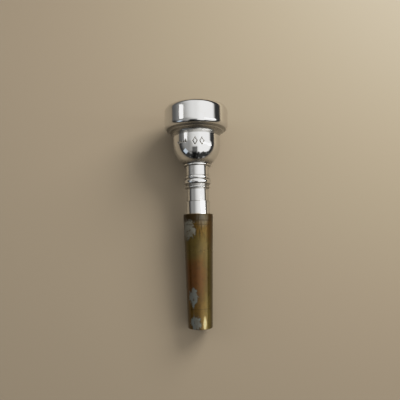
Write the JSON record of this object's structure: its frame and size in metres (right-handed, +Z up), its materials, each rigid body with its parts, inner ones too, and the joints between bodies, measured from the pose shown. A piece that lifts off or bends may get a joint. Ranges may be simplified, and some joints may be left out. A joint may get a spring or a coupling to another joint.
{
  "type": "brass instrument mouthpiece",
  "caption": "Silver-plated cornet mouthpiece, with a bowl cup and beaded neck, seated in a tapered brass shank adapter sleeve.",
  "frame": {"origin": "on the surface that the object lies on, at the centre of its bounding box's base", "axes": "+Y along the length towards the rim, +Z up, +X to the right of someone who looks along +Y. The bore axis lies in the YZ plane and rises towards the rim by about 5.8 degrees, because the object rests on the rim's lower edge and on the sleeve's small end."},
  "size_m": [0.0263, 0.0904, 0.0268],
  "materials": {
    "patinated_brass": "satin",
    "silver_plate": "polished"
  },
  "bodies": {
    "sleeve": {"adapter_sleeve": "patinated_brass"},
    "mouthpiece": {"mouthpiece": "silver_plate"}
  },
  "joints": [
    {"name": "mouthpiece_pull", "type": "slide", "parent": "sleeve", "child": "mouthpiece", "axis": [0, 0.9948, 0.1017], "range_m": [0, 0.027]}
  ]
}
